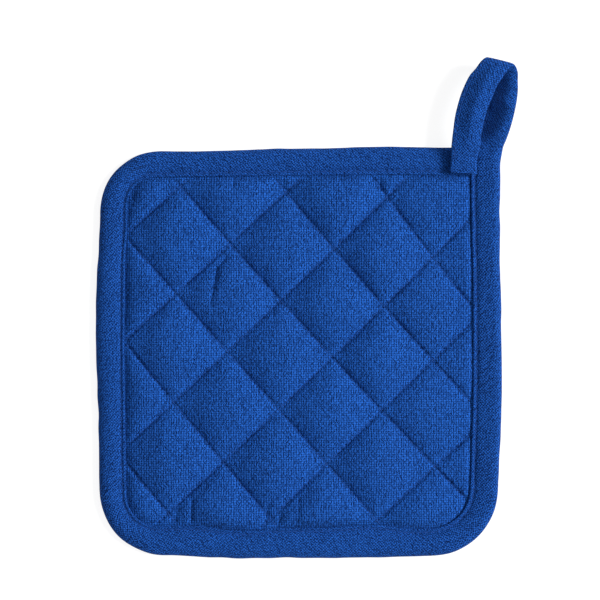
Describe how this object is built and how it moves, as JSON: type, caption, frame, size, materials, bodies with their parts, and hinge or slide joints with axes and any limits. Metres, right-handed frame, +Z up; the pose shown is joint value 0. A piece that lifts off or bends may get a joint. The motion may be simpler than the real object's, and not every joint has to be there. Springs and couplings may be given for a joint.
{
  "type": "pot holder",
  "caption": "Square quilted cotton pot holder with diamond puffs, a folded bias binding round its edge and a hanging loop of the same tape at one corner.",
  "frame": {"origin": "middle of the quilted square's underside, on the surface that it lies on", "axes": "+Z up out of the quilted face, +Y to the side that the loop is on, +X to the loop's corner"},
  "size_m": [0.206, 0.2443, 0.0178],
  "materials": {
    "quilted_cotton": "matt plain-weave cotton, royal blue, quilted",
    "bias_tape": "matt plain-weave cotton cut on the bias, royal blue",
    "loop_tape": "matt plain-weave cotton cut on the bias, royal blue, sewn shut"
  },
  "bodies": {
    "root": {"pad": "quilted_cotton", "binding": "bias_tape", "loop": "loop_tape"}
  },
  "joints": []
}
